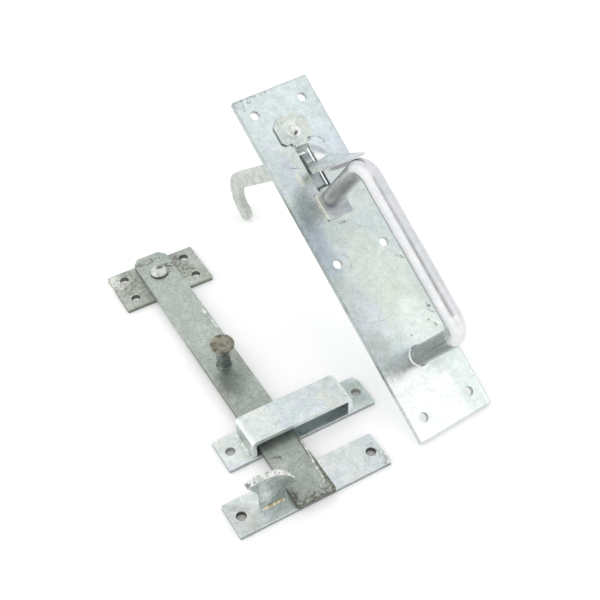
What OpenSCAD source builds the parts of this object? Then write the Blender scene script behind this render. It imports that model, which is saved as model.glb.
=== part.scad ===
// Galvanised suffolk latch, laid out as a loose kit on a bench.
// Millimetres. +Z is up from the bench, +Y runs along the latch bar towards its pivot,
// +X runs along the guide and the catch, the way the bar swings when it is lifted.
// The handle plate leans back on its lower edge, propped by the hooked tail of the thumb lever.

/* [Handle plate] */
// Width of the back plate
plate_w = 51; // [44:0.5:60]
// Length of the back plate
plate_l = 219.4; // [200:0.2:250]
// Thickness of the back plate
plate_t = 3; // [2.5:0.1:4]
// Distance between the screw holes across the plate
plate_holes_across = 32.6; // [28:0.2:36]
// Distance of the end screw holes from the ends of the plate
plate_margin = 11.9; // [9:0.1:15]
// Diameter of every screw hole
screw_d = 5.6; // [4:0.1:6.5]
// Angle at which the plate leans on the bench
plate_lean = 33.7; // [30:0.1:36]
// Turn of the handle set on the bench
plate_turn = 4.3; // [0:0.1:8]

/* [Grab handle] */
// Diameter of the round bar
rod_d = 11.2; // [9:0.1:12]
// Height of the grip's centre line above the plate's face
grip_stand = 53.1; // [48:0.1:60]
// Upper leg, measured from the middle of the plate
leg_top = 35.6; // [34:0.1:37]
// Lower leg, measured from the middle of the plate
leg_low = -66.8; // [-72:0.1:-60]
// Bend radius of the bar's centre line
bend_r = 10; // [8:0.5:14]
// Diameter of the riveted tangs
tang_d = 8; // [6:0.1:8.5]

/* [Lever strap] */
// Thickness of the strap
strap_t = 1.6; // [1.4:0.1:2.4]
// Width of the riveted head
head_w = 21; // [18:0.5:24]
// Length of the riveted head
head_l = 17; // [15:0.5:19]
// Size of the head's clipped corners
head_clip = 4.5; // [3:0.1:6]
// Width of the neck below the head
neck_w = 10; // [9.4:0.1:12]
// Width of the square foot under the handle's upper leg
foot_w = 16.5; // [14:0.5:20]
// Width of the slot in the back plate
slot_w = 9; // [8.6:0.1:9.6]

/* [Thumb lever] */
// Thickness of the lever
lever_t = 4.4; // [3.6:0.1:4.6]
// Depth of the lever's tail
lever_depth = 11; // [9.5:0.1:11.5]
// Straight reach of the tail from the fulcrum to the hook
tail_reach = 103.2; // [100:0.1:104]
// Inside radius of the hooked end
hook_in_r = 9.2; // [8:0.1:9.6]
// Angle through which the tail turns into its hook
hook_sweep = 120; // [105:1:121]
// Length of the thumb leaf
leaf_l = 52.5; // [46:0.5:55]
// Width of the thumb leaf at its inner end
leaf_w = 15.6; // [13:0.2:18]
// Thickness of the thumb leaf at its inner end
leaf_t = 4; // [3:0.1:4.4]
// Tilt of the leaf about its own length
leaf_roll = 10; // [0:1:14]
// Dip of the lever in its pressed position
lever_dip = 18; // [17:0.1:19]

/* [Pivot] */
// Length of the pivot plate
pivot_l = 59; // [50:0.5:70]
// Width of the pivot plate
pivot_w = 33.6; // [30:0.2:40]
// Distance of the pivot plate's screw holes from its ends
pivot_margin_x = 8.5; // [6:0.1:9]
// Distance of the pivot plate's screw holes from its long edges
pivot_margin_y = 7.5; // [6:0.1:8]
// Diameter of the pivot pin
pin_d = 8; // [6:0.1:9]
// Radial clearance of the bar on its pin
pin_play = 0.06; // [0.03:0.01:0.09]
// Diameter of the pivot rivet's head
rivet_head_d = 11.6; // [11:0.1:14]
// Height of the pivot rivet's head
rivet_head_h = 2.8; // [2:0.1:4]

/* [Latch bar] */
// Width of the latch bar
bar_w = 22.4; // [20:0.2:24]
// Thickness of the latch bar
bar_t = 4; // [3:0.1:4.6]
// Length of the latch bar
bar_l = 216.6; // [212:0.2:218]
// Length of the bar beyond its pin
bar_over = 18.6; // [16:0.2:20]
// Distance from the pin to the knob
knob_at = 91.2; // [80:0.2:100]
// Diameter of the knob's head
knob_d = 14.3; // [12:0.1:18]
// Diameter of the knob's stem
stem_d = 8; // [6:0.1:9]
// Height of the knob above the bar
knob_h = 18.8; // [15:0.1:24]

/* [Guide] */
// Width of the strips that the guide and the catch are cut from
strip_w = 22.2; // [21.4:0.2:25]
// Thickness of the strips and of the pivot plate
strip_t = 3; // [2.5:0.1:3.4]
// Length of the guide's strip
guide_l = 93.2; // [91:0.2:100]
// Distance of the guide's screw holes from the ends of its strip
guide_margin = 6; // [5:0.05:6.5]
// Clear width inside the bridge
bridge_in_w = 57.9; // [54:0.1:60]
// Clear height inside the bridge
bridge_in_h = 9; // [8:0.1:12]
// Thickness of the bridge's strip
bridge_t = 3; // [2.5:0.1:3.4]
// Width of the bridge's strip
bridge_w = 20.6; // [18:0.2:21]

/* [Catch] */
// Length of the catch's strip
catch_l = 92.3; // [90:0.2:100]
// Distance of the catch's screw holes from the ends of its strip
catch_margin = 6.25; // [5:0.05:7]
// Thickness of the keeper
keeper_t = 4; // [3:0.1:5]
// Width of the keeper's neck
keeper_neck_w = 14.2; // [12:0.2:16]
// Height of the throat under the keeper's lower wing
throat_h = 9.3; // [9:0.1:11]
// Span of the keeper's head from wing to wing
keeper_span = 31.7; // [30:0.2:34]
// Rise of the head's crown above the line between its wings
keeper_rise = 7.6; // [6:0.1:9]
// Slope of the head, which leads the closing bar down into the throat
keeper_slope = 25; // [23:0.5:27]

/* [Hidden] */
$fn = 64;

// Running gap between pieces that move past each other, and a cut's overshoot
gap = 0.3;
cut = 1;

// Bench layout, set out from the bar's centre line and the middle of the guide
bench_centre = [36.82, 67.67];
pin_at = 146;
handle_foot = [93.1, -45.8];
catch_at = [1.2, -39.6];
keeper_at = -20.4;
guide_wall_gap = 1.8;

// Spacings of the screw holes
plate_holes_pitch = plate_l / 2 - plate_margin;
pivot_holes_x = pivot_l - 2 * pivot_margin_x;
pivot_holes_y = pivot_w - 2 * pivot_margin_y;
guide_holes = guide_l - 2 * guide_margin;
catch_holes = catch_l - 2 * catch_margin;

// Middle of the bridge, so that its left wall stands just clear of the resting bar
bridge_mid = bridge_in_w / 2 - bar_w / 2 - guide_wall_gap;

// Strap, along the plate from its middle
head_mid = 82.4;
strap_rivet_at = head_mid - 1.4;
strap_rivet_d = 5;
neck_end = head_mid - head_l / 2 - 1.6;
strap_bend_r = 0.8 + strap_t / 2;
joggle_angle = 65;
band_z = -plate_t - gap - strap_t / 2;
joggle_drop = strap_t / 2 - band_z;
joggle_slope = (joggle_drop - 2 * strap_bend_r * (1 - cos(joggle_angle))) / sin(joggle_angle);
joggle_run = 2 * strap_bend_r * sin(joggle_angle) + joggle_slope * cos(joggle_angle);
foot_top = 41.4;
foot_low = 24.2;
slot_top = neck_end + gap / 2;
slot_low = foot_top - gap / 2;
band_w = slot_w - 4 * gap;
window_w = lever_t + 0.8;

// The lever rocks on the rounded lower edge of the strap's window
hinge = [56, band_z];
hinge_r = strap_t / 2;
window_top = hinge[0] + lever_depth + 1.2;
lever_low = -0.5;

// Tang of the knob, riveted through the bar
knob_tang_d = stem_d - 2;

function turned(r, a) = r * [cos(a), sin(a)];

function arc_points(mid, r, a0, a1, steps = 6) = [
    for (i = [0:steps]) mid + turned(r, a0 + (a1 - a0) * i / steps)
];

module on_bench(p) {
    translate([p[0] - bench_centre[0], p[1] - bench_centre[1], 0]) children();
}

// Frame of the leaning back plate: x across, y along from its middle, z out of its face
module on_handle_plate() {
    on_bench(handle_foot)
        rotate([plate_lean, 0, plate_turn])
            translate([0, plate_l / 2, plate_t])
                children();
}

// A profile drawn in the y-z plane, given a width across x
module across(w) {
    rotate([90, 0, 90]) linear_extrude(w, center = true) children();
}

module rounded_rect(w, l, r) {
    square([w - 2 * r, l], center = true);
    square([w, l - 2 * r], center = true);
    for (x = [-1, 1], y = [-1, 1])
        translate([x * (w / 2 - r), y * (l / 2 - r)]) circle(r);
}

// Part of a flat ring of centre-line radius r and width t, from angle a0 to a1
module ring_arc(r, t, a0, a1) {
    reach = 3 * (r + t);
    mid = (a0 + a1) / 2;
    intersection() {
        difference() {
            circle(r + t / 2);
            circle(r - t / 2);
        }
        polygon([[0, 0], turned(reach, a0), turned(reach, mid), turned(reach, a1)]);
    }
}

// Flat strip with two screw holes, its top at strip_t
module holed_strip(l, w, spacing) {
    difference() {
        linear_extrude(strip_t) rounded_rect(l, w, 0.8);
        for (x = [-1, 1])
            translate([x * spacing / 2, 0, -cut]) cylinder(d = screw_d, h = strip_t + 2 * cut);
    }
}

// Quarter-round weld bead along x, with its corner at the origin
module weld_bead(l, leg) {
    rotate([90, 0, 90]) linear_extrude(l, center = true)
        intersection() {
            circle(leg);
            square(leg);
        }
}

module handle_plate() {
    color("lightsteelblue") on_handle_plate() difference() {
        translate([0, 0, -plate_t]) linear_extrude(plate_t) rounded_rect(plate_w, plate_l, 1);
        for (x = [-1, 1], y = [-1, 0, 1])
            translate([x * plate_holes_across / 2, y * plate_holes_pitch, -plate_t - cut])
                cylinder(d = screw_d, h = plate_t + 2 * cut);
        translate([-slot_w / 2, slot_low, -plate_t - cut])
            cube([slot_w, slot_top - slot_low, plate_t + 2 * cut]);
        for (y = [leg_low, leg_top])
            translate([0, y, -plate_t - cut]) cylinder(d = tang_d, h = plate_t + 2 * cut);
        translate([0, strap_rivet_at, -plate_t - cut])
            cylinder(d = strap_rivet_d, h = plate_t + 2 * cut);
    }
}

// One leg of the handle with its tang, from height z0 up to the bend
module handle_leg(z0) {
    translate([0, 0, z0]) cylinder(d = rod_d, h = grip_stand - bend_r - z0);
    translate([0, 0, -plate_t]) cylinder(d = tang_d, h = plate_t + z0);
}

// Quarter bend in the y-z plane, from a leg at y = bend_r up into the grip
module handle_bend() {
    rotate([90, 0, 90]) rotate_extrude(angle = 90) translate([bend_r, 0]) circle(d = rod_d);
}

module grab_handle() {
    color("silver") on_handle_plate() {
        translate([0, leg_top, 0]) handle_leg(strap_t);
        translate([0, leg_low, 0]) handle_leg(0);
        translate([0, leg_low, 0]) cylinder(d1 = rod_d + 1.6, d2 = rod_d, h = 0.9);
        translate([0, leg_top - bend_r, grip_stand - bend_r]) handle_bend();
        translate([0, leg_low + bend_r, grip_stand - bend_r]) mirror([0, 1, 0]) handle_bend();
        translate([0, leg_low + bend_r, grip_stand])
            rotate([-90, 0, 0]) cylinder(d = rod_d, h = leg_top - leg_low - 2 * bend_r);
    }
}

// One face of the strap seen from the side, at distance d above its centre line:
// flat under the head, down through the slot, along the back, and up to the foot
function strap_face(d) = concat(
    [[neck_end + 3, strap_t / 2 + d]],
    arc_points([neck_end, strap_t / 2 - strap_bend_r], strap_bend_r + d, 90, 90 + joggle_angle),
    arc_points([neck_end - joggle_run, band_z + strap_bend_r], strap_bend_r - d, 270 + joggle_angle, 270),
    arc_points([foot_top + joggle_run, band_z + strap_bend_r], strap_bend_r - d, 270, 270 - joggle_angle),
    arc_points([foot_top, strap_t / 2 - strap_bend_r], strap_bend_r + d, 90 - joggle_angle, 90),
    [[foot_top - 3, strap_t / 2 + d]]
);

module strap_side() {
    back = strap_face(-strap_t / 2);
    polygon(concat(strap_face(strap_t / 2), [for (i = [len(back) - 1:-1:0]) back[i]]));
}

module strap_head() {
    outline = [
        [-head_w / 2, -head_l / 2 + head_clip / 2], [-head_w / 2, head_l / 2 - head_clip],
        [-head_w / 2 + head_clip, head_l / 2], [head_w / 2 - head_clip, head_l / 2],
        [head_w / 2, head_l / 2 - head_clip], [head_w / 2, -head_l / 2 + head_clip / 2],
        [head_w / 2 - head_clip / 2, -head_l / 2], [-head_w / 2 + head_clip / 2, -head_l / 2]
    ];
    translate([0, head_mid]) polygon(outline);
    translate([-neck_w / 2, neck_end]) square([neck_w, head_mid - neck_end]);
}

module lever_strap() {
    color("lightgray") on_handle_plate() difference() {
        union() {
            linear_extrude(strap_t) strap_head();
            linear_extrude(strap_t)
                translate([-foot_w / 2, foot_low]) square([foot_w, foot_top - foot_low]);
            across(band_w) strap_side();
        }
        across(window_w) difference() {
            translate([hinge[0], -plate_t - strap_t - cut])
                square([window_top - hinge[0], plate_t + 2 * strap_t + 2 * cut]);
            translate(hinge) circle(hinge_r);
        }
        translate([0, strap_rivet_at, -cut]) cylinder(d = strap_rivet_d, h = strap_t + 2 * cut);
        translate([0, leg_top, -cut]) cylinder(d = tang_d, h = strap_t + 2 * cut);
    }
}

module strap_rivet() {
    dome_r = 4.6;
    dome_h = 1.8;
    ball_r = (dome_r * dome_r + dome_h * dome_h) / (2 * dome_h);
    color("gainsboro") on_handle_plate() translate([0, strap_rivet_at, 0]) {
        translate([0, 0, -plate_t]) cylinder(d = strap_rivet_d, h = plate_t + strap_t);
        translate([0, 0, strap_t]) intersection() {
            translate([0, 0, dome_h - ball_r]) sphere(ball_r);
            cylinder(r = dome_r, h = dome_h + cut);
        }
    }
}

// Frame of the lever at its hinge: x across, y up off its lower edge, z towards the thumb
module on_lever() {
    translate([0, hinge[0], hinge[1]]) rotate([lever_dip, 0, 0]) children();
}

// Side view of the tail, its hook and the shoulder under the thumb leaf
module lever_outline() {
    top = lever_low + lever_depth;
    hook_mid = [lever_low - hook_in_r, -tail_reach];
    hook_r = hook_in_r + lever_depth / 2;
    notch_r = hinge_r + gap;
    difference() {
        union() {
            polygon([
                [lever_low, -tail_reach], [top, -tail_reach], [top, -0.3], [6, 2], [4.4, 4],
                [3.6, 10], [2.4, 17], [1.2, 17], [lever_low, 5]
            ]);
            translate(hook_mid) ring_arc(hook_r, lever_depth, -hook_sweep, 0);
            translate(hook_mid + turned(hook_r, -hook_sweep)) circle(lever_depth / 2);
        }
        circle(notch_r);
        polygon([[0.2, -notch_r], [lever_low - cut, -2.4], [lever_low - cut, 2.4], [0.2, notch_r]]);
    }
}

// Plan of the leaf: a blunt inner end that runs out along two arcs to a point
module leaf_plan() {
    half_w = leaf_w / 2;
    corner_r = 2;
    taper_l = leaf_l - corner_r;
    side_r = (taper_l * taper_l + half_w * half_w) / leaf_w;
    side_turn = asin(taper_l / side_r);
    steps = 20;
    part_turn = side_turn / steps;
    polygon(concat(
        arc_points([corner_r - half_w, corner_r], corner_r, 180, 270),
        arc_points([half_w - corner_r, corner_r], corner_r, 270, 360),
        arc_points([half_w - side_r, corner_r], side_r, part_turn, side_turn, steps - 1),
        arc_points([side_r - half_w, corner_r], side_r, 180 - side_turn + part_turn, 180 - part_turn,
            steps - 2)
    ));
}

// Side view of the leaf: dished along its top, thinning towards the tip
module leaf_side() {
    tip_t = 1.2;
    dish = 1.1;
    dish_r = (leaf_l * leaf_l / 4 + dish * dish) / (2 * dish);
    difference() {
        polygon([[-leaf_t, 0], [cut, 0], [cut, leaf_l], [-tip_t, leaf_l]]);
        translate([dish_r - dish, leaf_l / 2]) circle(dish_r, $fn = 256);
    }
}

module thumb_lever() {
    leaf_rise = 4.6;
    leaf_start = 12;
    leaf_droop = 1.3;
    color("darkgray") on_handle_plate() on_lever() {
        across(lever_t) lever_outline();
        translate([0, leaf_rise, leaf_start]) rotate([leaf_droop, 0, leaf_roll]) intersection() {
            rotate([90, 0, 0]) linear_extrude(20, center = true) leaf_plan();
            across(2 * leaf_w) leaf_side();
        }
    }
}

module pivot_plate() {
    color("slategray") on_bench([0, pin_at]) difference() {
        linear_extrude(strip_t) rounded_rect(pivot_l, pivot_w, 0.8);
        for (x = [-1, 1], y = [-1, 1])
            translate([x * pivot_holes_x / 2, y * pivot_holes_y / 2, -cut])
                cylinder(d = screw_d, h = strip_t + 2 * cut);
        translate([0, 0, -cut]) cylinder(d = pin_d, h = strip_t + 2 * cut);
    }
}

module pivot_rivet() {
    head_low = strip_t + bar_t + 2 * gap;
    rim = 0.8;
    crown_h = rivet_head_h - rim;
    head_r = rivet_head_d / 2;
    ball_r = (head_r * head_r + crown_h * crown_h) / (2 * crown_h);
    color("lightsteelblue") on_bench([0, pin_at]) {
        cylinder(d = pin_d, h = head_low);
        translate([0, 0, head_low]) cylinder(r = head_r, h = rim);
        translate([0, 0, head_low + rim]) intersection() {
            translate([0, 0, crown_h - ball_r]) sphere(ball_r);
            cylinder(r = head_r, h = crown_h + cut);
        }
    }
}

// Outline of the bar from its pin, with the two clipped corners of the pivot end
module bar_outline() {
    clip_x = 3.8;
    clip_y = 4.5;
    low = bar_over - bar_l;
    polygon([
        [-bar_w / 2, low], [bar_w / 2, low], [bar_w / 2, bar_over - clip_y],
        [bar_w / 2 - clip_x, bar_over], [-bar_w / 2 + clip_x, bar_over],
        [-bar_w / 2, bar_over - clip_y]
    ]);
}

module latch_bar() {
    color("gray") on_bench([0, pin_at]) translate([0, 0, strip_t + gap]) difference() {
        linear_extrude(bar_t) bar_outline();
        translate([0, 0, -cut]) cylinder(r = pin_d / 2 + pin_play, h = bar_t + 2 * cut);
        translate([0, -knob_at, -cut]) cylinder(d = knob_tang_d, h = bar_t + 2 * cut);
    }
}

module bar_knob() {
    head_h = 3.4;
    crown = 0.6;
    knob_r = knob_d / 2;
    ball_r = (knob_r * knob_r + crown * crown) / (2 * crown);
    color("peru") on_bench([0, pin_at - knob_at]) translate([0, 0, strip_t + gap]) {
        cylinder(d = knob_tang_d, h = bar_t);
        translate([0, 0, bar_t]) cylinder(d = stem_d, h = knob_h - head_h);
        translate([0, 0, bar_t]) cylinder(d1 = stem_d + 2, d2 = stem_d, h = 1);
        translate([0, 0, bar_t + knob_h - head_h])
            cylinder(d1 = knob_d - 2.4, d2 = knob_d, h = 1.2);
        translate([0, 0, bar_t + knob_h - head_h + 1.2])
            cylinder(d = knob_d, h = head_h - crown - 1.2);
        translate([0, 0, bar_t + knob_h - crown]) intersection() {
            translate([0, 0, crown - ball_r]) sphere(ball_r, $fn = 128);
            cylinder(r = knob_r, h = crown + cut);
        }
    }
}

module guide_base() {
    clip = 4;
    color("lightsteelblue") on_bench([bridge_mid, 0]) difference() {
        holed_strip(guide_l, strip_w, guide_holes);
        translate([guide_l / 2, strip_w / 2, -cut]) rotate(18)
            translate([-1.3, -clip, 0]) cube([clip, 3 * clip, strip_t + 2 * cut]);
    }
}

// Side view of the bridge: two walls and a flat top, bent round at the corners
module bridge_outline() {
    out_r = bridge_t + 1;
    half = bridge_in_w / 2;
    top = bridge_in_h + bridge_t;
    for (s = [-1, 1])
        scale([s, 1]) {
            translate([half, 0]) square([bridge_t, top - out_r]);
            translate([half + bridge_t - out_r, top - out_r])
                ring_arc(out_r - bridge_t / 2, bridge_t, 0, 90);
        }
    translate([-half + out_r - bridge_t, bridge_in_h])
        square([bridge_in_w + 2 * (bridge_t - out_r), bridge_t]);
}

module guide_bridge() {
    color("lightsteelblue") on_bench([bridge_mid, 0]) translate([0, 0, strip_t])
        rotate([90, 0, 0]) linear_extrude(bridge_w, center = true) bridge_outline();
}

// Weld at the outer foot of one wall of the bridge, on the side s
module guide_weld(s) {
    color("silver") on_bench([bridge_mid, 0]) translate([s * (bridge_in_w / 2 + bridge_t), 0, strip_t])
        rotate(-s * 90) weld_bead(bridge_w - 4, 1.6);
}

module guide_weld_left() {
    guide_weld(-1);
}

module guide_weld_right() {
    guide_weld(1);
}

module catch_plate() {
    color("lightsteelblue") on_bench(catch_at) holed_strip(catch_l, strip_w, catch_holes);
}

// Side view of the keeper, from the middle of its neck's foot: up the back, over the
// sloping head, under its lower wing and round the throat to the front of the neck
module keeper_outline() {
    half_neck = keeper_neck_w / 2;
    half_span = keeper_span / 2;
    head = [0, throat_h + half_span * sin(keeper_slope) + 0.4];
    crown_r = (half_span * half_span + keeper_rise * keeper_rise) / (2 * keeper_rise);
    crown_mid = head - turned(crown_r - keeper_rise, 90 - keeper_slope);
    crown_half = asin(half_span / crown_r);
    high_tip = head + turned(half_span, 180 - keeper_slope);
    throat_r = 2.5;
    flare_start = 5;
    flare_x = -half_neck - high_tip[0];
    flare_z = high_tip[1] - flare_start;
    flare_r = (flare_x * flare_x + flare_z * flare_z) / (2 * flare_x);
    flare_turn = asin(flare_z / flare_r);
    polygon(concat(
        [[-half_neck, 0]],
        arc_points([-half_neck - flare_r, flare_start], flare_r, 0, flare_turn, 16),
        arc_points(crown_mid, crown_r, 90 - keeper_slope + crown_half,
            90 - keeper_slope - crown_half, 24),
        arc_points([half_neck + throat_r, throat_h - throat_r], throat_r, 90, 180, 8),
        [[half_neck, 0]]
    ));
}

module catch_hook() {
    color("silver") on_bench([keeper_at, catch_at[1]]) translate([0, 0, strip_t])
        rotate([90, 0, 0]) linear_extrude(keeper_t, center = true) keeper_outline();
}

// Weld at the foot of the keeper, on the side s
module catch_weld(s) {
    color("wheat") on_bench([keeper_at, catch_at[1] + s * keeper_t / 2])
        translate([0, 0, strip_t]) scale([1, s, 1]) weld_bead(keeper_neck_w, 1.4);
}

module catch_weld_front() {
    catch_weld(-1);
}

module catch_weld_back() {
    catch_weld(1);
}

handle_plate();
grab_handle();
lever_strap();
strap_rivet();
thumb_lever();
pivot_plate();
pivot_rivet();
latch_bar();
bar_knob();
guide_base();
guide_bridge();
guide_weld_left();
guide_weld_right();
catch_plate();
catch_hook();
catch_weld_front();
catch_weld_back();
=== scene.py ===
import math

import bmesh
import bpy
import numpy as np
from mathutils import Euler, Matrix, Vector


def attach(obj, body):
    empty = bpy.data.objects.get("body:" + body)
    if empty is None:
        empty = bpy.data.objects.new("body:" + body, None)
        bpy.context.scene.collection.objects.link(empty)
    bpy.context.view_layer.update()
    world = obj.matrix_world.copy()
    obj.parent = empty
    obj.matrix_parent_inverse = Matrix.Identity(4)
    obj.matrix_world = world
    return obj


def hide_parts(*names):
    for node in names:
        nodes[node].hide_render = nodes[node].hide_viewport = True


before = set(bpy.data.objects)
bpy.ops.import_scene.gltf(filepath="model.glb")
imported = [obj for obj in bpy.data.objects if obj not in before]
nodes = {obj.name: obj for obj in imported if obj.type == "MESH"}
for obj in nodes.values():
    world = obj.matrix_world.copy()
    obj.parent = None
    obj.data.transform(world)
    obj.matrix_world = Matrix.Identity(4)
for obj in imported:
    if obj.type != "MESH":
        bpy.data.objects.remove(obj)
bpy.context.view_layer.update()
scene = bpy.context.scene
scene.view_settings.view_transform = "Standard"


# Its place, turn and lens were solved from the corners and screw holes of the real pieces.
camera_data = bpy.data.cameras.new("camera")
camera_data.lens = 61.06
camera_data.sensor_width = 36.0
camera_data.clip_start = 0.01
camera = bpy.data.objects.new("camera", camera_data)
scene.collection.objects.link(camera)
scene.camera = camera
camera_right = Vector((0.8647541, -0.5017789, -0.0204542))
camera_down = Vector((-0.3678243, -0.6051181, -0.7060718))
camera_forward = Vector((0.3419147, 0.6181020, -0.7078448))
camera_turn = Matrix((camera_right, -camera_down, -camera_forward)).transposed()
camera.matrix_world = Matrix.Translation((-0.188317, -0.380657, 0.454660)) @ camera_turn.to_4x4()


# No lamp light reaches under the guide and the catch: there the paper is painted darker and its glow
# turned down, a painted shade that makes their screw holes look dark.
class Signal:
    """One value or colour that changes over a surface: a shader socket that takes arithmetic."""

    def __init__(self, tree, socket=None):
        self.tree = tree
        self.socket = socket

    def node(self, kind, settings=None, values=None, out=0):
        """Adds a node, its settings first, then the values or links of its sockets."""
        made = self.tree.nodes.new(kind)
        for key, value in (settings or {}).items():
            setattr(made, key, value)
        for key, value in (values or {}).items():
            if isinstance(value, Signal):
                self.tree.links.new(value.socket, made.inputs[key])
            else:
                made.inputs[key].default_value = value
        return Signal(self.tree, made.outputs[out]) if made.outputs else None

    def maths(self, operation, first, second=0.0):
        return self.node("ShaderNodeMath", {"operation": operation}, {0: first, 1: second})

    def __add__(self, other):
        return self.maths("ADD", self, other)

    def __radd__(self, other):
        return self.maths("ADD", other, self)

    def __sub__(self, other):
        return self.maths("SUBTRACT", self, other)

    def __rsub__(self, other):
        return self.maths("SUBTRACT", other, self)

    def __mul__(self, other):
        return self.maths("MULTIPLY", self, other)

    def __rmul__(self, other):
        return self.maths("MULTIPLY", other, self)

    def __or__(self, other):
        """The larger of two values."""
        return self.maths("MAXIMUM", self, other)

    def __abs__(self):
        return self.maths("ABSOLUTE", self)


def tone(red, green, blue):
    """An opaque colour as seen on a screen, 0 to 255, turned into the linear one that a shader takes."""
    linear = [((v / 255 + 0.055) / 1.055) ** 2.4 for v in (red, green, blue)]
    return (*linear, 1.0)


def rise(value, low, high):
    """0 below low, 1 above high, and a smooth rise between them."""
    return value.node("ShaderNodeMapRange", {"interpolation_type": "SMOOTHSTEP"},
                      {0: value, 1: low, 2: high})


def blend(share, low, high):
    """The colour low where the share is 0, and high where it is 1."""
    return share.node("ShaderNodeMix", {"data_type": "RGBA"}, {0: share, 6: low, 7: high}, out=2)


def coordinate(place, axis):
    """One coordinate of a place: 0 for x, 1 for y and 2 for z."""
    return place.node("ShaderNodeSeparateXYZ", None, {0: place}, out=axis)


def slab(place, low, high, edge):
    """1 inside a box between two corners and 0 outside it, with a soft edge; all in metres."""
    inside = 1.0
    for axis in range(3):
        along = coordinate(place, axis)
        inside = inside * rise(along, low[axis], low[axis] + edge)
        inside = inside * (1 - rise(along, high[axis] - edge, high[axis]))
    return inside


def sweep_sheet():
    """A flat square of paper, two metres on a side, a hair below the pieces."""
    low = -0.00005
    corners = [(-1, -1, low), (1, -1, low), (1, 1, low), (-1, 1, low)]
    mesh = bpy.data.meshes.new("bench")
    mesh.from_pydata(corners, [], [(0, 1, 2, 3)])
    sheet = bpy.data.objects.new("bench", mesh)
    scene.collection.objects.link(sheet)
    return sheet


bench_paper = bpy.data.materials.new("bench_paper")
bench_paper.use_nodes = True
tree = bench_paper.node_tree
tree.nodes.clear()
start = Signal(tree)
path = tree.nodes.new("ShaderNodeLightPath")
seen = (Signal(tree, path.outputs["Is Camera Ray"]) | Signal(tree, path.outputs["Is Glossy Ray"])
        | Signal(tree, path.outputs["Is Transmission Ray"]))
lit = start.node("ShaderNodeBsdfDiffuse", None, {"Color": (0.80, 0.80, 0.79, 1)})
ground = start.node("ShaderNodeTexCoord", out="Object")
# Painted shade: darker paper with little glow under the guide and the catch strips.
under_guide = slab(ground, (-0.0672, -0.0785, -0.001), (0.0254, -0.0569, 0.001), 0.0004)
under_catch = slab(ground, (-0.0815, -0.1181, -0.001), (0.0102, -0.0965, 0.001), 0.0004)
painted_shade_under_strips = under_guide | under_catch
lit_white = start.node("ShaderNodeBsdfDiffuse", None,
                       {"Color": blend(painted_shade_under_strips, (0.92, 0.92, 0.91, 1), (0.78, 0.78, 0.76, 1))})
glow = start.node("ShaderNodeEmission", None, {"Color": (1, 1, 1, 1), "Strength": 0.22 - 0.20 * painted_shade_under_strips})
white = start.node("ShaderNodeAddShader", None, {0: lit_white, 1: glow})
paper = start.node("ShaderNodeMixShader", None, {0: seen, 1: lit, 2: white})
start.node("ShaderNodeOutputMaterial", None, {"Surface": paper})
bench = sweep_sheet()
bench.data.materials.append(bench_paper)


# It is dim in two places on the camera's side, where a person would stand, and bright in two soft panels.
def panel(facing, toward, inner, outer):
    """1 within the inner angle of a direction and 0 beyond the outer one, both in degrees."""
    length = math.sqrt(sum(v * v for v in toward))
    near = facing.node("ShaderNodeVectorMath", {"operation": "DOT_PRODUCT"},
                       {0: facing, 1: [v / length for v in toward]}, out="Value")
    return rise(near, math.cos(math.radians(outer)), math.cos(math.radians(inner)))


world = bpy.data.worlds.new("tent")
scene.world = world
world.use_nodes = True
tree = world.node_tree
tree.nodes.clear()
facing = Signal(tree).node("ShaderNodeTexCoord", out="Generated")
cloth = (0.96, 0.97, 0.98, 1)
# Bright at the left, dim above the camera and in front of it, and bright at the right.
for toward, inner, outer, colour in (
        ((-0.98, -0.10, 0.18), 30, 70, (1.27, 1.27, 1.27, 1)),
        ((-0.30, -0.60, 0.74), 5, 21, (0.36, 0.34, 0.32, 1)),
        ((-0.10, -0.88, 0.46), 8, 26, (0.45, 0.45, 0.45, 1)),
        ((0.50, -0.58, 0.64), 6, 17, (1.25, 1.25, 1.25, 1))):
    cloth = blend(panel(facing, toward, inner, outer), cloth, colour)
tent = facing.node("ShaderNodeBackground", None, {"Color": cloth, "Strength": 1.0})
facing.node("ShaderNodeOutputWorld", None, {"Surface": tent})


# Back plate of the handle: 3 mm steel sheet, sheared to size, punched and hot-dip galvanised.
# The zinc is pale, blue at the left edge and straw in the middle, with clouds, scuffs and pits; painted
# reflections, highlights and shade lie over it.
plate_turn = (math.radians(33.7), 0.0, math.radians(4.3))
plate_middle = (0.0495618, -0.0241214, 0.0633623)
plate_half_width = 0.0255
plate_half_length = 0.1097
plate_holes = [(x * 0.0163, y * 0.0978) for x in (-1, 1) for y in (-1, 0, 1)]
screw_radius = 0.0028


def eased(name, node, body, width, steps=2):
    """A copy of a CAD node, its triangles merged into flat faces, with every sharp edge rounded over."""
    mesh = nodes[node].data.copy()
    shell = bmesh.new()
    shell.from_mesh(mesh)
    bmesh.ops.remove_doubles(shell, verts=shell.verts, dist=1e-6)
    bmesh.ops.dissolve_limit(shell, angle_limit=math.radians(0.5), verts=shell.verts, edges=shell.edges)
    shell.to_mesh(mesh)
    shell.free()
    mesh.name = name
    mesh.materials.clear()
    mesh.shade_smooth()
    piece = bpy.data.objects.new(name, mesh)
    scene.collection.objects.link(piece)
    bevel = piece.modifiers.new("rounded_edges", "BEVEL")
    bevel.width = width
    bevel.segments = steps
    bevel.limit_method = "ANGLE"
    bevel.angle_limit = math.radians(32)
    weights = piece.modifiers.new("flat_faces", "WEIGHTED_NORMAL")
    weights.mode = "FACE_AREA"
    weights.weight = 100
    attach(piece, body)
    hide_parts(node)
    return piece


def own_frame(place, centre, turn=(0, 0, 0), scale=(1, 1, 1)):
    """A place as it is seen from a frame with its own centre, turn and scale."""
    return place.node("ShaderNodeMapping", {"vector_type": "TEXTURE"},
                      {"Vector": place, "Location": centre, "Rotation": turn, "Scale": scale})


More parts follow.
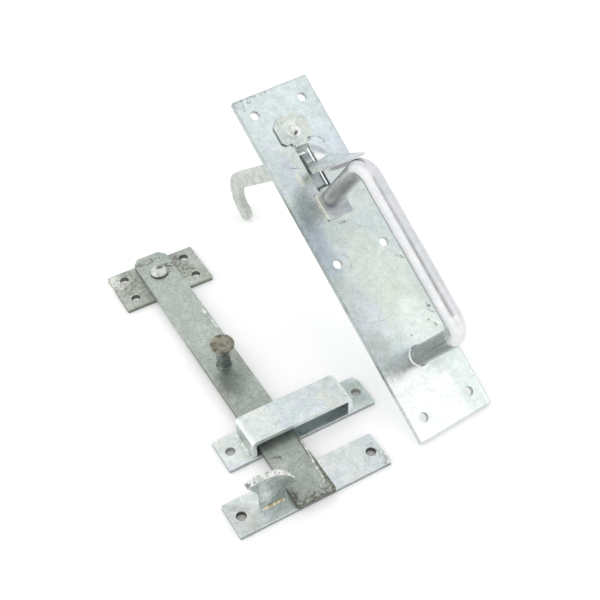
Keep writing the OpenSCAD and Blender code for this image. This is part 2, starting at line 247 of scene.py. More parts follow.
def metal_surface(name, centre=(0, 0, 0), turn=(0, 0, 0)):
    """A new metal material, its shader, and the piece's own coordinates in metres from a centre."""
    material = bpy.data.materials.new(name)
    material.use_nodes = True
    shader = material.node_tree.nodes["Principled BSDF"]
    place = Signal(material.node_tree).node("ShaderNodeTexCoord", out="Object")
    return material, shader, own_frame(place, centre, turn)


def noise(place, size, detail=3.0, rough=0.5, distort=0.0):
    """Cloudy noise about 0, with clouds of a size in metres."""
    cloudy = place.node("ShaderNodeTexNoise", {"noise_dimensions": "3D"},
                        {"Vector": place, "Scale": 1 / size, "Detail": detail, "Roughness": rough,
                         "Distortion": distort})
    return cloudy - 0.5


def clouded(cloud, dark, light, spread=0.1):
    """Two colours mixed in clouds, which are given as noise about 0."""
    return blend(rise(cloud, -spread, spread), dark, light)


def tinted(base, hue, one, other):
    """A base colour, leaning to one tint where noise about 0 is high and to the other where it is low."""
    base = blend(0.5 * rise(hue, 0.0, 0.15), base, one)
    return blend(0.5 * (1 - rise(hue, -0.15, 0.0)), base, other)


def flecks(place, size, least):
    """Small ragged flecks, 1 in a fleck and 0 between them; a higher least value gives fewer."""
    return rise(noise(place, size, 5, 0.7), least, 0.24)


def largest(shares):
    """The largest of several shares at each point."""
    most = shares[0]
    for share in shares[1:]:
        most = most | share
    return most


def patch(place, middle, size, turn=0.0, ragged=0.0):
    """1 in an oval patch and 0 outside it, its border broken up by noise; middle and size in metres."""
    oval = own_frame(place, (*middle, 0), (0, 0, math.radians(turn)), (*size, 1))
    away = oval.node("ShaderNodeVectorMath", {"operation": "LENGTH"}, {0: oval}, out="Value")
    if ragged:
        away = away + ragged * noise(place, 0.5 * min(size), 4, 0.65)
    return 1 - rise(away, 0.45, 1.0)


def painted(base, place, patches):
    """Soft patches over a base colour: each a share, middle, size, turn, raggedness and colour."""
    for share, middle, size, turn, ragged, colour in patches:
        base = blend(share * patch(place, middle, size, turn, ragged), base, colour)
    return base


def wisps(place, shift, size, width):
    """Thin curling lines, 1 on a line and 0 between: the places where warped noise passes its middle."""
    moved = place.node("ShaderNodeVectorMath", {"operation": "ADD"}, {0: place, 1: (shift, 2 * shift, 0)})
    warped = noise(moved, size, 3, 0.5, 2.0)
    return 1 - rise(abs(warped), 0.0, width)


def ragged_arc(place, middle, radius, low, high):
    """A thin ragged line, drawn for worn marks and for a painted shadow line: the part of a circle's line
    that lies between two corners, all in metres.
    """
    away = place.node("ShaderNodeVectorMath", {"operation": "DISTANCE"},
                      {0: place, 1: (*middle, 0)}, out="Value")
    off = away + 0.0006 * noise(place, 0.002, 3) - radius
    line = 1 - rise(abs(off), 0.0001, 0.0006)
    return line * slab(place, (*low, -0.001), (*high, 0.001), 0.0005)


def bores(place, centres, radius):
    """1 on the wall of each round hole and 0 beyond its rim; the holes run along z."""
    walls = []
    for x, y in centres:
        flat = place.node("ShaderNodeVectorMath", {"operation": "MULTIPLY_ADD"},
                          {0: place, 1: (1, 1, 0), 2: (-x, -y, 0)})
        away = flat.node("ShaderNodeVectorMath", {"operation": "LENGTH"}, {0: flat}, out="Value")
        walls.append(1 - rise(away, radius + 0.00002, radius + 0.00020))
    return largest(walls)


def zinc_skin(material, shader, place, base, mottle=1.0, rough=0.30, metal=0.9, waves=0.12, dark_marks=None,
              rust=None, grain=0.25, curl=0.08):
    """Zinc over a base colour: mottled and curled, with dark marks and rust where they are given; on the
    back plate the dark marks include a painted shadow line.
    """
    tree = material.node_tree
    cloud = noise(place, 0.009, 4, 0.6, 0.8)
    blotch = noise(place, 0.0038, 4, 0.6, 1.2)
    fleck = noise(place, 0.0013, 3, 0.6)
    swirl = noise(place, 0.012, 5, 0.55, 2.5)
    light_curls = wisps(place, shift=0.05, size=0.012, width=0.022)
    dark_curls = wisps(place, shift=0.11, size=0.009, width=0.020)
    curls = light_curls - dark_curls
    shade = 1 + mottle * (0.30 * cloud + 0.45 * swirl + 0.35 * blotch + grain * fleck) + curl * curls
    zinc = base.node("ShaderNodeVectorMath", {"operation": "SCALE"}, {0: base, 3: shade})
    if dark_marks is not None:
        zinc = blend(dark_marks, zinc, tone(92, 96, 92))
    if rust is not None:
        zinc = blend(rust, zinc, clouded(blotch, tone(104, 84, 66), tone(70, 60, 52)))
    tree.links.new(zinc.socket, shader.inputs["Base Color"])
    if isinstance(metal, Signal):
        tree.links.new(metal.socket, shader.inputs["Metallic"])
    else:
        shader.inputs["Metallic"].default_value = metal
    gloss = rough + 0.35 * cloud + 0.15 * blotch
    tree.links.new(gloss.socket, shader.inputs["Roughness"])
    height = 0.5 * noise(place, 0.018, 3, 0.5) + 0.35 * cloud + 0.16 * blotch + 0.02 * curls
    height = height + 0.15 * grain * fleck
    bump = height.node("ShaderNodeBump", None, {"Strength": waves, "Distance": 0.003, "Height": height})
    tree.links.new(bump.socket, shader.inputs["Normal"])
    return material


def plate_zinc():
    """The back plate's coat, with x across the plate and y along it from its middle."""
    material, shader, place = metal_surface("plate_zinc", plate_middle, plate_turn)
    base = clouded(noise(place, 0.045, 3, 0.5, 0.4), tone(208, 218, 219), tone(214, 222, 217))
    base = tinted(base, noise(place, 0.020, 3, 0.5, 1.0), tone(220, 222, 233), tone(216, 226, 214))
    blue_edge = (0.9, (-0.021, 0.014), (0.010, 0.030), 0, 0.5, tone(186, 197, 205))
    beside_slot = (0.8, (-0.016, 0.056), (0.009, 0.018), 0, 0.5, tone(204, 213, 216))
    pale_blue_right = (0.8, (0.015, 0.072), (0.012, 0.016), 0, 0.5, tone(226, 236, 243))
    blue_lower_left = (0.7, (-0.016, -0.038), (0.013, 0.020), 0, 0.5, tone(216, 223, 228))
    grey_lower_left = (0.8, (-0.018, -0.0515), (0.009, 0.011), 0, 0.5, tone(203, 209, 204))
    below_foot = (0.8, (-0.0045, 0.0175), (0.011, 0.010), 0, 0.5, tone(200, 210, 204))
    right_edge = (0.7, (0.0215, -0.0330), (0.006, 0.022), 0, 0.5, tone(202, 212, 207))
    # Pale zinc at the low left, painted near white in part as a reflection of the bright panel.
    white_left_and_reflection = (0.8, (-0.016, -0.073), (0.022, 0.010), 12, 0.5, tone(252, 254, 254))
    straw_middle = (0.9, (0.004, -0.016), (0.017, 0.040), 8, 0.5, tone(215, 223, 213))
    pale_right = (0.8, (0.010, -0.050), (0.015, 0.022), 0, 0.5, tone(228, 236, 230))
    grey_by_foot = (0.6, (-0.017, 0.037), (0.009, 0.014), 0, 0.4, tone(172, 186, 186))
    cream_mark = (0.8, (-0.0112, 0.0532), (0.0022, 0.0068), 0, 0.5, tone(232, 234, 220))
    leaf_reflection = (0.7, (0.0085, 0.0655), (0.0080, 0.0024), -48, 0.3, tone(176, 178, 186))
    leaf_gleam = (1.0, (0.0080, 0.0600), (0.0056, 0.0028), -40, 0.3, tone(254, 255, 254))
    top_end = (1.0, (0.0, 0.098), (0.040, 0.034), 0, 0.4, tone(223, 233, 233))
    leaf_shade = (0.9, (0.0160, 0.0508), (0.0115, 0.0019), -3, 0.3, tone(150, 150, 158))
    base = painted(base, place, [
        blue_edge, beside_slot, pale_blue_right, blue_lower_left, grey_lower_left, below_foot, right_edge,
        white_left_and_reflection, straw_middle, pale_right, grey_by_foot, cream_mark, leaf_reflection, leaf_gleam,
        top_end, leaf_shade])
    across = coordinate(place, 0)
    along = coordinate(place, 1)
    # The low end is paler zinc and in part a painted reflection of the bright panel, so it is painted near
    # white.
    pale_low_end_and_reflection = 1 - rise(along + 0.03 * noise(place, 0.02, 4, 0.6), -0.084, -0.070)
    base = blend(pale_low_end_and_reflection, base, tone(244, 248, 247))
    grey_low_right = (0.9, (0.018, -0.090), (0.011, 0.034), 0, 0.6, tone(221, 231, 226))
    base = painted(base, place, [grey_low_right])
    # Painted shade on the slot's wall below the plate's face.
    shaded_slot_wall = slab(place, (0.0040, 0.0420, -0.0035), (0.0050, 0.0560, -0.0002), 0.0002)
    base = blend(shaded_slot_wall, base, tone(118, 126, 128))
    # Painted shade on the walls of the screw holes.
    base = blend(bores(place, plate_holes, screw_radius), base, tone(178, 184, 182))
    rim = (rise(abs(across), plate_half_width - 0.0010, plate_half_width - 0.0002)
           | rise(abs(along), plate_half_length - 0.0011, plate_half_length - 0.0002))
    base = blend(0.55 * rim, base, tone(168, 176, 172))
    pits = largest([patch(place, (0.0212, -0.0446), (0.0014, 0.0011), 30, 0.9),
                    patch(place, (0.0165, -0.0516), (0.0011, 0.0009), 20, 0.9),
                    patch(place, (0.0193, -0.0555), (0.0010, 0.0019), 20, 1.4),
                    patch(place, (0.0023, -0.0547), (0.0013, 0.0007), -10, 1.2)])
    dashes = largest([patch(place, (-0.0006, 0.0203), (0.0042, 0.0009), -5, 2.0),
                      patch(place, (0.0214, -0.012), (0.0030, 0.0006), -62, 0.5),
                      patch(place, (-0.0100, 0.0601), (0.0044, 0.0004), -22, 0.4)])
    worn_edges = largest([patch(place, (-0.0215, 0.1065), (0.0110, 0.0046), 12, 3.0),
                          patch(place, (-0.0060, 0.1084), (0.0120, 0.0010), 0, 3.0),
                          patch(place, (-0.0252, -0.0240), (0.0007, 0.0050), 0, 1.5)])
    worn_edges = worn_edges * rise(noise(place, 0.0024, 4, 0.7), -0.04, 0.10)
    blot = patch(place, (0.0069, 0.0729), (0.0018, 0.0011), 20, 1.5)
    # Painted shadow: a thin dark line beside the slot where the leaf's shadow edge falls.
    leaf_shadow_line = ragged_arc(place, (0.0085, 0.0675), 0.0061, (0.0045, 0.0665), (0.0160, 0.0760))
    arc_left = ragged_arc(place, (-0.0142, -0.0009), 0.0055, (-0.0125, -0.0055), (-0.0080, 0.0045))
    arc_by_grip = ragged_arc(place, (0.0250, -0.0078), 0.0063, (0.0180, -0.0145), (0.0235, -0.0085))
    arc_low_right = ragged_arc(place, (0.0239, -0.0453), 0.0042, (0.0190, -0.0500), (0.0228, -0.0420))
    long_arc = ragged_arc(place, (-0.0076, -0.0194), 0.02045, (-0.0250, -0.0420), (0.0, -0.0300))
    # The leaf's painted shadow line is darkened along with the real pits, dashes and worn marks.
    stains_and_leaf_shadow = largest([blot, leaf_shadow_line, 0.9 * arc_left, arc_by_grip, arc_low_right, 0.45 * long_arc])
    dark_marks = largest([0.85 * pits, 0.6 * dashes, 0.45 * stains_and_leaf_shadow, 0.6 * worn_edges,
                    0.4 * flecks(place, 0.004, 0.17)])
    dark_marks = dark_marks * rise(noise(place, 0.0016, 3, 0.6), -0.16, 0.02)
    return zinc_skin(material, shader, place, base, mottle=1.0, rough=0.27, metal=0.95, waves=0.10,
                     dark_marks=dark_marks, grain=0.12, curl=0.07)


handle_sheet = eased("handle_sheet", "handle_plate", "fixed", width=0.00035)
handle_sheet.data.materials.append(plate_zinc())


# Grab handle: one length of round bar, bent twice, its ends turned down and riveted through the plate.
# Smooth bright zinc with a semi-gloss skin, faintly lilac.
def grip_zinc():
    """The handle's coat, in the back plate's frame."""
    material, shader, place = metal_surface("grip_zinc", plate_middle, plate_turn)
    base = clouded(noise(place, 0.02, 3), tone(218, 220, 222), tone(226, 226, 228))
    upper_leg = slab(place, (-0.008, 0.028, -0.001), (0.008, 0.044, 0.046), 0.003)
    base = blend(upper_leg, base, tone(204, 202, 201))
    # Painted shade: the legs darken where they meet the plate.
    base = blend(rise(coordinate(place, 2), 0.0012, 0.0055), tone(158, 158, 164), base)
    lower_leg = slab(place, (-0.01, -0.08, 0.0006), (0.01, -0.05, 0.047), 0.004)
    base = blend(lower_leg, base, tone(176, 182, 177))
    lower_bend = slab(place, (-0.0050, -0.0680, 0.0500), (0.0018, -0.0560, 0.0620), 0.0027)
    foot_ring = slab(place, (-0.0100, -0.0740, -0.0010), (-0.0024, -0.0580, 0.0009), 0.0003)
    gleam = lower_bend | 0.8 * foot_ring
    base = blend(gleam, base, tone(251, 252, 251))
    return zinc_skin(material, shader, place, base, mottle=0.5, rough=0.25, metal=0.95 - 0.75 * gleam,
                     waves=0.05, grain=0.1, curl=0.02)


nodes["grab_handle"].data.materials.clear()
nodes["grab_handle"].data.materials.append(grip_zinc())


# Lever strap: thin strip joggled through the slot, with a clipped head and a square foot.
# The same dip of zinc as the plate, a little warmer, and a hammered rivet in the head.
def strap_zinc():
    """The strap's coat, in the back plate's frame: painted shade where it bends down and on its edges,
    paler deeper in the slot, and painted light on the bend's top and the foot's edges.
    """
    material, shader, place = metal_surface("strap_zinc", plate_middle, plate_turn)
    above = coordinate(place, 2)
    base = clouded(noise(place, 0.014, 3), tone(212, 221, 217), tone(222, 228, 220))
    grey_foot = (1.0, (0.003, 0.029), (0.012, 0.010), 20, 0.3, tone(178, 182, 187))
    base = painted(base, place, [grey_foot])
    # Painted shade: dark on the strap's edges and where it dips below the plate's face; paler again deeper
    # down.
    base = blend(rise(above, 0.0006, 0.0014), tone(116, 124, 124), base)
    base = blend(rise(above, -0.0032, -0.0002), tone(188, 197, 200), base)
    # Painted highlight: a bright golden line down the foot's left edge and, fainter, along its lower end,
    # made less metallic.
    foot_side = slab(place, (-0.0086, 0.0250, 0.0002), (-0.0079, 0.0405, 0.0022), 0.0001)
    foot_end = slab(place, (-0.0086, 0.0236, 0.0006), (0.0066, 0.0244, 0.0022), 0.0001)
    foot_edge_highlight = foot_side | 0.5 * foot_end
    base = blend(foot_edge_highlight, base, tone(254, 248, 232))
    # Painted light: the top of the bend into the slot is painted pale and made less metallic, so that it
    # does not read dark.
    lightened_joggle = slab(place, (-0.0060, 0.0660, -0.006), (0.0060, 0.0735, 0.0010), 0.0010)
    base = blend(lightened_joggle, base, tone(236, 240, 236))
    dark_marks = 0.6 * flecks(place, 0.003, 0.16) * (1 - foot_edge_highlight)
    metal = 0.9 - 0.8 * (foot_edge_highlight | 0.7 * lightened_joggle)
    return zinc_skin(material, shader, place, base, mottle=1.4, rough=0.33, metal=metal, waves=0.12,
                     dark_marks=dark_marks)


def rivet_zinc(name, stance, rim_top, light, dark, dents):
    """Bright hammered zinc, painted dark round the rim as painted shade and dark in each dent; a dent is a
    place and a size.
    """
    material, shader, place = metal_surface(name, *stance)
    base = blend(rise(noise(place, 0.003, 4, 0.6), -0.10, 0.05), dark, light)
    # Painted shade on the side of the head, below the rim's top.
    base = blend(rise(coordinate(place, 2), rim_top - 0.0002, rim_top + 0.0002), tone(120, 124, 118), base)
    base = painted(base, place, [(0.9, spot, size, 30, 0.6, tone(104, 106, 102)) for spot, size in dents])
    return zinc_skin(material, shader, place, base, mottle=0.6, rough=0.34, waves=0.15)


def surface(name, rows, closed=True):
    """A smooth surface over rows of points; closed rows are rings."""
    count, across = rows.shape[:2]
    steps = across if closed else across - 1
    row, column = np.meshgrid(np.arange(count - 1), np.arange(steps), indexing="ij")
    first = row * across + column
    second = row * across + (column + 1) % across
    faces = np.stack([first, second, second + across, first + across], axis=-1).reshape(-1, 4)
    mesh = bpy.data.meshes.new(name)
    mesh.from_pydata(rows.reshape(-1, 3).tolist(), [], faces.tolist())
    mesh.shade_smooth()
    piece = bpy.data.objects.new(name, mesh)
    scene.collection.objects.link(piece)
    return piece


def hammered_rivet(name, node, stance, profile, dent, depth):
    """A rivet with its head knocked in at one place. Its stance is the centre and the turn of its frame.

    Each row k of the profile is a ring of radius r_k at height z_k, p = (r_k cos a, r_k sin a, z_k).
    Rows of the crown sink by depth * exp(-d^2 / w^2), where d is the distance from the dent's middle
    and w its width, and by a small wave 0.02 * depth * sin(3 a + 2000 r) of hammer marks.
    """
    radius, height, crown = (np.array(row)[:, None] for row in zip(*profile))
    sides = 96
    angle = np.linspace(0, 2 * np.pi, sides, endpoint=False)[None, :]
    x = radius * np.cos(angle)
    y = radius * np.sin(angle)
    dent_x, dent_y, dent_width = dent
    away = (x - dent_x) ** 2 + (y - dent_y) ** 2
    sunk = depth * np.exp(-away / dent_width ** 2) + 0.02 * depth * np.sin(3 * angle + 2000 * radius)
    z = height - crown * sunk
    centre, turn = stance
    spin = np.array(Euler(turn).to_matrix())
    piece = surface(name, np.stack([x, y, z], axis=-1) @ spin.T + np.array(centre))
    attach(piece, "fixed")
    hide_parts(node)
    return piece


def domed_profile(shank_r, low, seat, head_r, rim_h, crown_h):
    """Rows of radius, height and share of dent: up the shank, round the rim and over the crown.

    The crown is z = seat + rim_h + crown_h * (1 - (r / head_r)^2)^0.8, and the rim is rounded over.
    """
    rows = [(1e-5, low, 0), (shank_r, low, 0), (shank_r, seat, 0), (head_r - 0.0001, seat, 0)]
    rows += [(head_r, seat + 0.0001, 0), (head_r, seat + 0.7 * rim_h, 0)]
    for share in np.linspace(0.985, 0.001, 40):
        rows.append((head_r * share, seat + rim_h + crown_h * (1 - share ** 2) ** 0.8, 1))
    return rows


strap_strip = eased("strap_strip", "lever_strap", "fixed", width=0.0002)
strap_strip.data.materials.append(strap_zinc())
strap_rivet_stance = ((0.044508, 0.0430782, 0.1083058), plate_turn)
strap_rivet_dome = domed_profile(shank_r=0.0025, low=-0.003, seat=0.0016, head_r=0.0046, rim_h=0.0002,
                                 crown_h=0.0016)
strap_rivet = hammered_rivet("rivet_strap", "strap_rivet", strap_rivet_stance, strap_rivet_dome,
                             dent=(-0.0003, -0.0024, 0.0010), depth=0.0009)
strap_rivet.data.materials.append(rivet_zinc(
    "strap_rivet_zinc", strap_rivet_stance, rim_top=0.0017, light=tone(250, 252, 250),
    dark=tone(214, 218, 212), dents=[((-0.0003, -0.0026), (0.0022, 0.0013))]))


# Thumb lever: one forging, a pointed thumb leaf on a flat tail that ends in a hook.
# Rougher zinc with a sandy, speckled skin and rounded edges.
lever_turn = Euler(plate_turn).to_matrix() @ Matrix.Rotation(math.radians(18), 3, "X")
lever_axis = Vector((0.045898, 0.024605, 0.091023))
leaf_turn = lever_turn @ Euler((math.radians(1.3), 0, math.radians(10))).to_matrix()
leaf_foot = lever_axis + lever_turn @ Vector((0, 0.0046, 0.0120))
leaf_half_length = 0.02625
leaf_arch = 0.0011


def lever_zinc():
    """The lever's coat; the leaf's own frame has x across it, y out of its top and z toward its tip."""
    material, shader, place = metal_surface("lever_zinc")
    base = clouded(noise(place, 0.010, 4), tone(192, 197, 192), tone(207, 211, 205))
    leaf = own_frame(place, leaf_foot, leaf_turn.to_euler())
    out = coordinate(leaf, 2)
    middle = (out - leaf_half_length) * (1 / leaf_half_length)
    under_top = coordinate(leaf, 1) + leaf_arch * (1 - middle * middle)
    on_leaf = slab(leaf, (-0.009, -0.0050, -0.002), (0.009, 0.0010, 0.054), 0.0004)
    # Painted light and shade on the leaf's near rim: bright and speckled toward its foot, dark lilac low
    # on the rim toward its tip.
    speck = rise(noise(leaf, 0.0018, 4, 0.7), -0.05, 0.08)
    rim = blend(speck, tone(206, 208, 205), tone(254, 254, 250))
    rim = blend(rise(out, 0.012, 0.020), rim, tone(206, 208, 210))
    shaded_low_rim = rise(out, 0.016, 0.022) * (1 - rise(under_top, -0.0029, -0.0020))
    rim = blend(shaded_low_rim, rim, tone(134, 132, 142))
    top = clouded(noise(leaf, 0.007, 3), tone(204, 213, 218), tone(226, 231, 233))
    glint = slab(leaf, (-0.0020, -0.003, 0.0030), (0.0070, 0.001, 0.0160), 0.0030)
    top = blend(0.9 * glint, top, tone(250, 252, 252))
    base = blend(on_leaf, base, blend(rise(under_top, -0.0005, -0.0001), rim, top))
    plate = own_frame(place, plate_middle, plate_turn)
    # Painted shade on the part of the lever below the plate's face, in the slot.
    shaded_in_slot = slab(plate, (-0.006, 0.040, -0.020), (0.006, 0.072, 0.0), 0.0008)
    base = blend(shaded_in_slot, base, tone(148, 157, 160))
    dark_marks = 0.5 * flecks(place, 0.003, 0.15)
    return zinc_skin(material, shader, place, base, mottle=1.1, rough=0.40, metal=0.85, waves=0.25,
                     dark_marks=dark_marks, grain=0.6)


lever_forging = eased("lever_forging", "thumb_lever", "lever", width=0.0006, steps=3)
lever_forging.data.materials.append(lever_zinc())


# Pivot plate and latch bar: hot-rolled flat, dipped darker, with rust coming through at the ends.
# A raised run of pale zinc follows the bar's right edge near its lower end.
pivot_holes = [(x, y) for x in (-0.05782, -0.01582) for y in (0.06903, 0.08763)]


def dark_zinc(name, side_top, dark, light, rust, soft_patches, rusty=0.85):
    """Dull zinc in two tones, with soft patches and rust; painted shade makes its sides darker below a
    height and darkens its screw holes' walls.
    """
    material, shader, place = metal_surface(name)
    base = clouded(noise(place, 0.022, 4, 0.6), dark, light, 0.12)
    # Painted shade on the walls of the screw holes.
    base = blend(bores(place, pivot_holes, screw_radius), base, tone(120, 122, 114))
    # Painted shade: the sides are darker below a height.
    side = 1 - rise(coordinate(place, 2), side_top - 0.0006, side_top)
    base = blend(0.8 * side, base, tone(118, 122, 113))
    base = painted(base, place, [(0.9, middle, size, 0, 0.6, colour) for middle, size, colour in soft_patches])
    spread = largest([patch(place, middle, size, 0, 2.2) for middle, size in rust])
    crust = rusty * spread * rise(noise(place, 0.0020, 4, 0.65), -0.06, 0.08)
    return zinc_skin(material, shader, place, base, mottle=1.1, rough=0.42, metal=0.8, waves=0.25,
                     dark_marks=0.4 * flecks(place, 0.004, 0.13), rust=crust, grain=0.8)


def run_of_zinc(name, body, points, radius, ripple, pitch):
    """A ragged bead of zinc along a line of points.

    Ring k has its centre c(t) on the line and the radius
    r(t) = radius * (1 - 0.999 (2t - 1)^6)^0.5 * w(s), with the wave
    w(s) = 1 + ripple * (sin(2 pi s / pitch) + 0.6 sin(11 s / pitch)),
    where t goes from 0 to 1 and s is the length along the line. The ring lies across the line:
    p = c(t) + r(t) * (cos a * side + sin a * up).
    """
    rings = 240
    sides = 16
    corners = np.array(points)
    lengths = np.concatenate([[0], np.cumsum(np.linalg.norm(np.diff(corners, axis=0), axis=1))])
    t = np.linspace(0, 1, rings)
    s = t * lengths[-1]
    centre = np.stack([np.interp(s, lengths, corners[:, axis]) for axis in range(3)], axis=-1)
    heading = np.gradient(centre, axis=0)
    up = np.array([0, 0, 1])
    side = np.cross(heading, up)
    side = (side / np.linalg.norm(side, axis=1)[:, None])[:, None, :]
    wave = 1 + ripple * (np.sin(2 * np.pi * s / pitch) + 0.6 * np.sin(11 * s / pitch))
    thick = (radius * np.sqrt(1 - 0.999 * (2 * t - 1) ** 6) * wave)[:, None, None]
    angle = np.linspace(0, 2 * np.pi, sides, endpoint=False)[None, :, None]
    piece = surface(name, centre[:, None, :] + thick * (np.cos(angle) * side + np.sin(angle) * up))
    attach(piece, body)
    return piece


def weld_zinc(name, dark, light):
    """Lumpy, duller zinc over a weld, in two tones."""
    material, shader, place = metal_surface(name)
    base = clouded(noise(place, 0.0024, 4, 0.6), dark, light)
    return zinc_skin(material, shader, place, base, mottle=1.0, rough=0.35, metal=0.6, waves=0.2)


pivot_zinc = dark_zinc(
    "pivot_zinc", side_top=0.0027, dark=tone(168, 173, 164), light=tone(196, 202, 192), rusty=0.5,
    rust=[((-0.0575, 0.0800), (0.011, 0.017)), ((-0.0210, 0.0780), (0.011, 0.015))],
    soft_patches=[((-0.0630, 0.0880), (0.0050, 0.0100), tone(232, 236, 228))])
bar_rust = [
    ((-0.0356, -0.1185), (0.016, 0.0040)), ((-0.0268, -0.1160), (0.004, 0.012)),
    ((-0.0258, -0.1000), (0.0010, 0.026)), ((-0.0300, 0.0800), (0.007, 0.006)),
    ((-0.0466, -0.1193), (0.003, 0.012)), ((-0.0429, -0.0883), (0.003, 0.003)),
    ((-0.0400, 0.0912), (0.010, 0.003))]
pale_upper_half = ((-0.0368, 0.0500), (0.020, 0.070), tone(189, 196, 190))
grey_below_knob = ((-0.0385, -0.0280), (0.009, 0.018), tone(150, 157, 150))
dark_right_edge = ((-0.0268, -0.1000), (0.0016, 0.030), tone(126, 128, 116))
white_nick = ((-0.0276, 0.0324), (0.0012, 0.0030), tone(240, 242, 236))
pale_scrape = ((-0.0269, 0.0201), (0.0010, 0.0060), tone(228, 230, 224))
bar_zinc = dark_zinc(
    "bar_zinc", side_top=0.0069, dark=tone(167, 174, 166), light=tone(185, 192, 185), rust=bar_rust,
    soft_patches=[pale_upper_half, grey_below_knob, dark_right_edge, white_nick, pale_scrape])
pivot_sheet = eased("pivot_sheet", "pivot_plate", "fixed", width=0.0004)
pivot_sheet.data.materials.append(pivot_zinc)
bar_flat = eased("bar_flat", "latch_bar", "bar", width=0.0005)
bar_flat.data.materials.append(bar_zinc)
bar_top = 0.0072
run_line = [(-0.0264, -0.0834, bar_top), (-0.0263, -0.0914, bar_top), (-0.0279, -0.1019, bar_top),
            (-0.0281, -0.1086, bar_top), (-0.0288, -0.1133, bar_top), (-0.0326, -0.1151, bar_top)]
zinc_run = run_of_zinc("zinc_run", "bar", run_line, radius=0.00066, ripple=0.16, pitch=0.0051)
zinc_run.data.materials.append(weld_zinc("run_zinc", tone(176, 184, 176), tone(236, 238, 230)))
pivot_rivet_stance = ((-0.03682, 0.07833, 0.0), (0.0, 0.0, 0.0))
pivot_rivet_dome = domed_profile(shank_r=0.0040, low=0.0, seat=0.0076, head_r=0.0058, rim_h=0.0008,
                                 crown_h=0.0020)
pivot_pin = hammered_rivet("rivet_pivot", "pivot_rivet", pivot_rivet_stance, pivot_rivet_dome,
                           dent=(0.00135, 0.0022, 0.0015), depth=0.0013)
pivot_pin.data.materials.append(rivet_zinc(
    "pivot_rivet_zinc", pivot_rivet_stance, rim_top=0.0087, light=tone(220, 225, 217),
    dark=tone(184, 190, 181), dents=[((0.00135, 0.0022), (0.0034, 0.0027))]))


# Knob: turned from bar, its tang riveted through the latch bar.
# The stem is grey zinc, and the head has gone olive and rusty on top.
def knob_zinc():
    """Grey on the stem and olive on the head, with rust on top."""
    material, shader, place = metal_surface("knob_zinc")
    up = coordinate(place, 2)
    head = clouded(noise(place, 0.005, 4), tone(134, 136, 122), tone(168, 164, 146))
    stem = clouded(noise(place, 0.004, 4), tone(108, 116, 113), tone(140, 147, 142))
    base = blend(rise(up, 0.0195, 0.0215), stem, head)
    rust = 0.7 * rise(noise(place, 0.003, 5, 0.65), 0.0, 0.12) * rise(up, 0.0215, 0.024)
    return zinc_skin(material, shader, place, base, mottle=1.4, rough=0.45, metal=0.75, waves=0.3,
                     rust=rust)


knob_turned = eased("knob_turned", "bar_knob", "bar", width=0.0004)
knob_turned.data.materials.append(knob_zinc())


# Guide and catch: two strips, one with a bent bridge welded across it, one with an upright keeper.
# Freshly dipped pale zinc, faintly blue, and grimy at the far end of the catch. Ragged weld beads hold
# the bridge and the keeper, and lumpy zinc is left on the keeper's crown.
def strip_zinc():
    """The coat of the guide and of the catch's strip, which share one frame."""
    material, shader, place = metal_surface("strip_zinc")
    base = clouded(noise(place, 0.020, 3, 0.5, 0.5), tone(219, 229, 229), tone(231, 237, 235))
    catch_left_end = (0.8, (-0.0760, -0.1090), (0.012, 0.013), 0, 0.5, tone(203, 207, 201))
    guide_right_end = (0.8, (0.0200, -0.0680), (0.011, 0.014), 0, 0.5, tone(200, 210, 205))
    base = painted(base, place, [catch_left_end, guide_right_end])
    # Painted shade on the bridge's left wall.
    shaded_left_wall = slab(place, (-0.0560, -0.0758, 0.0030), (-0.0524, -0.0590, 0.0130), 0.0002)
    base = blend(shaded_left_wall, base, tone(176, 184, 180))
    base = tinted(base, noise(place, 0.013, 3, 0.5, 1.0), tone(232, 232, 242), tone(236, 238, 226))
    # Painted shade: the strips' sides are darker below their top face.
    shaded_strip_side = 1 - rise(coordinate(place, 2), 0.0020, 0.0027)
    base = blend(0.8 * shaded_strip_side, base, tone(146, 154, 154))
    # Painted shade inside the bridge, lighter on the strip's top beneath it.
    shaded_tunnel = slab(place, (-0.0500, -0.0776, 0.0028), (0.0083, -0.0570, 0.0123), 0.0003)
    base = blend(shaded_tunnel, base, tone(165, 177, 180))
    shaded_tunnel_floor = slab(place, (-0.0500, -0.0776, 0.0026), (0.0083, -0.0570, 0.0034), 0.0002)
    base = blend(shaded_tunnel_floor, base, tone(212, 220, 220))
    # Painted shade on the walls of the screw holes, darker in the catch.
    guide_holes = [(-0.06147, -0.06767), (0.01973, -0.06767)]
    base = blend(bores(place, guide_holes, screw_radius), base, tone(200, 205, 199))
    catch_holes = [(-0.07552, -0.10727), (0.00428, -0.10727)]
    base = blend(bores(place, catch_holes, screw_radius), base, tone(112, 116, 110))
    scuff = patch(place, (-0.0770, -0.1010), (0.0110, 0.0026), -42, 0.8)
    grime = patch(place, (0.0085, -0.1130), (0.0045, 0.0130), 10, 1.2)
    grime = grime * rise(noise(place, 0.0022, 4, 0.7), -0.06, 0.14)
    dark_marks = 0.18 * scuff | 0.6 * grime | 0.35 * flecks(place, 0.004, 0.17)
    return zinc_skin(material, shader, place, base, mottle=1.0, rough=0.33, metal=0.88, waves=0.18,
                     dark_marks=dark_marks, curl=0.14)


def keeper_zinc():
    """The keeper's coat; its face is painted in a frame turned to stand upright."""
    material, shader, place = metal_surface("keeper_zinc")
    base = clouded(noise(place, 0.010, 3), tone(158, 168, 165), tone(192, 200, 197))
    base = blend(rise(coordinate(place, 1), -0.1091, -0.1089), base, tone(150, 156, 154))
    upright = place.node("ShaderNodeMapping", None,
                         {"Vector": place, "Rotation": (math.radians(-90), 0, 0)})
    pale_face = (0.6, (-0.0620, 0.0100), (0.0050, 0.0090), 0, 0.8, tone(218, 223, 221))
    base = painted(base, upright, [pale_face])
    return zinc_skin(material, shader, place, base, mottle=1.8, rough=0.36, metal=0.85, waves=0.30,
                     curl=0.16, grain=0.6)


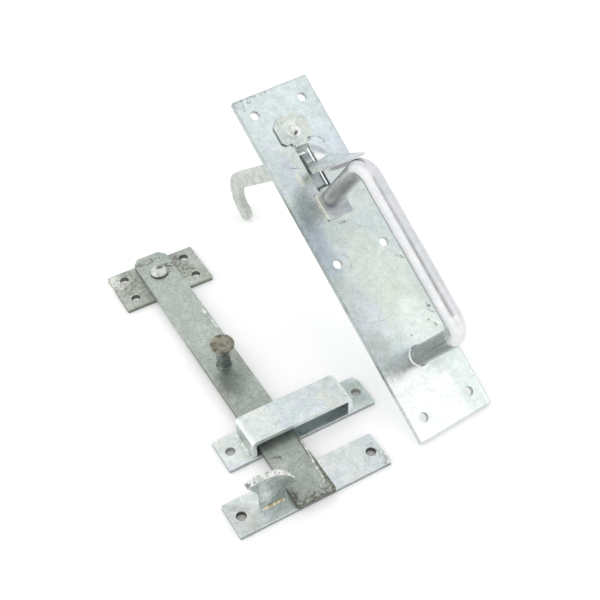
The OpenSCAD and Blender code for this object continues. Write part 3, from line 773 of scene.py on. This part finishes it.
def crown_crust():
    """Lumpy zinc left on the keeper's crown: a patch of a cylinder about the crown's own axis.

    p = (x0 + R cos a, y, z0 + R sin a), with R = r + h * (1 - u^8)^0.5 * (1 - v^8)^0.5 - 0.3 mm, where u
    and v go from -1 to 1 along and across the crown and h = 0.40 + 0.12 sin(17 a) sin(3 v + 9 a)
    + 0.06 sin(53 a + 4 v) mm.
    """
    steps_along = 160
    steps_across = 24
    half_thickness = 0.00205
    angle = np.radians(np.linspace(14.5, 115.5, steps_along))[None, :]
    u = np.linspace(-1, 1, steps_along)[None, :]
    v = np.linspace(-1, 1, steps_across)[:, None]
    lumps = 0.40 + 0.12 * np.sin(17 * angle) * np.sin(3 * v + 9 * angle)
    lumps = lumps + 0.06 * np.sin(53 * angle + 4 * v)
    round_over = np.sqrt(1 - u ** 8) * np.sqrt(1 - v ** 8)
    axis_x = -0.06260
    axis_z = 0.00786
    middle_y = -0.10727
    crown_radius = 0.02033
    radius = crown_radius - 0.0003 + 0.001 * lumps * round_over
    x = axis_x + radius * np.cos(angle)
    y = middle_y + half_thickness * v + 0 * x
    z = axis_z + radius * np.sin(angle)
    crust = surface("crown_crust", np.stack([x, y, z], axis=-1), closed=False)
    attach(crust, "fixed")
    return crust


pale_strip = strip_zinc()
for name, node in (("guide_strip", "guide_base"), ("bridge_strip", "guide_bridge"),
                   ("catch_strip", "catch_plate")):
    eased(name, node, "fixed", width=0.0004).data.materials.append(pale_strip)
eased("keeper_cut", "catch_hook", "fixed", width=0.0005).data.materials.append(keeper_zinc())
crown_crust().data.materials.append(weld_zinc("crust_zinc", tone(206, 210, 204), tone(252, 252, 248)))
pale_weld = weld_zinc("pale_weld", tone(196, 204, 202), tone(232, 236, 234))
# A straw-gold coat on the keeper's front weld, painted bright as a highlight line along its foot.
golden_highlight_weld = weld_zinc("golden_highlight_weld", tone(206, 190, 142), tone(250, 242, 216))
strip_top = 0.003
for node, start, end, radius, coat in (
        ("guide_weld_left", (-0.05282, -0.07597), (-0.05282, -0.05937), 0.0015, pale_weld),
        ("guide_weld_right", (0.01108, -0.07597), (0.01108, -0.05937), 0.0015, pale_weld),
        ("catch_weld_front", (-0.06432, -0.10937), (-0.05012, -0.10937), 0.0009, golden_highlight_weld),
        ("catch_weld_back", (-0.06432, -0.10527), (-0.05012, -0.10527), 0.0013, pale_weld)):
    bead = run_of_zinc("bead_" + node, "fixed", [(*start, strip_top), (*end, strip_top)], radius,
                       ripple=0.10, pitch=0.0021)
    bead.data.materials.append(coat)
    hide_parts(node)
